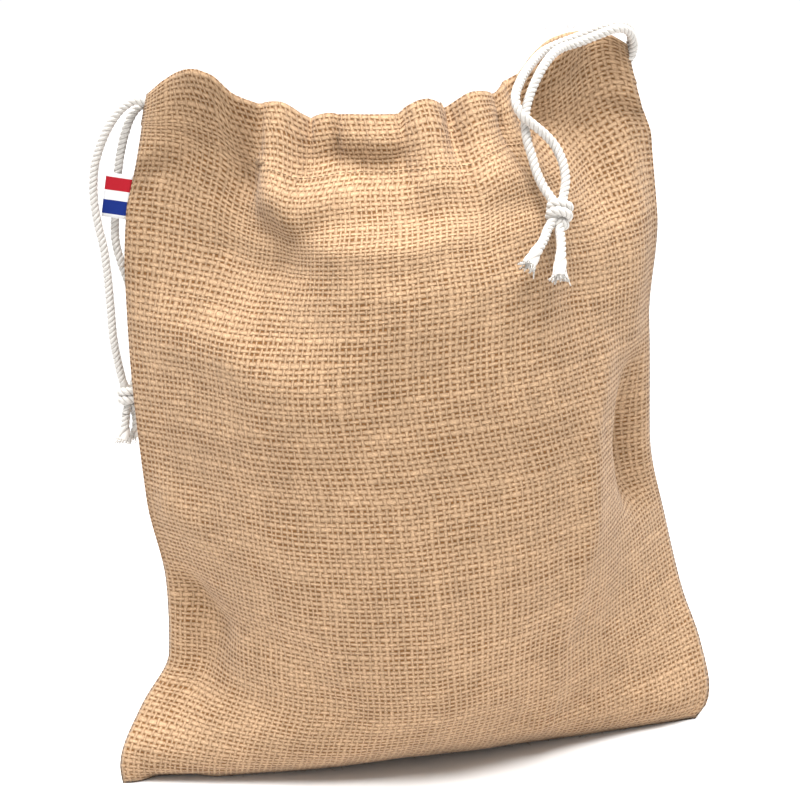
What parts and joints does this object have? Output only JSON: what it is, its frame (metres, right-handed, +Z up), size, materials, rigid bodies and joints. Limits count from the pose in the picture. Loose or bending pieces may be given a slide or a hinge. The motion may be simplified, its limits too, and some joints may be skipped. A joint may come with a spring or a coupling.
{
  "type": "burlap sack",
  "caption": "Drawstring sack of coarse jute burlap with a gathered mouth, filled out and standing upright, with knotted cotton drawcords and a ribbon tab in its side seam.",
  "frame": {"origin": "on the surface that the sack stands on, under the middle of its folded base", "axes": "+Z up; the front, over which the right-hand cords hang, faces -Y; +X runs to the right as seen from the front"},
  "size_m": [0.2877, 0.1237, 0.3394],
  "materials": {
    "burlap": "coarse plain-weave jute, matte",
    "cotton_cord": "twisted three-strand cotton, off-white",
    "ribbon": "woven ribbon with red, white and blue bands"
  },
  "bodies": {
    "root": {"sack_cloth": "burlap", "cord_right_over": "cotton_cord", "cord_right_under": "cotton_cord", "cord_left_outer": "cotton_cord", "cord_left_inner": "cotton_cord", "tail_right_1": "cotton_cord", "tail_right_2": "cotton_cord", "tail_left_1": "cotton_cord", "tail_left_2": "cotton_cord", "knot_right": "cotton_cord", "knot_left": "cotton_cord", "flag_tab": "ribbon"}
  },
  "joints": []
}
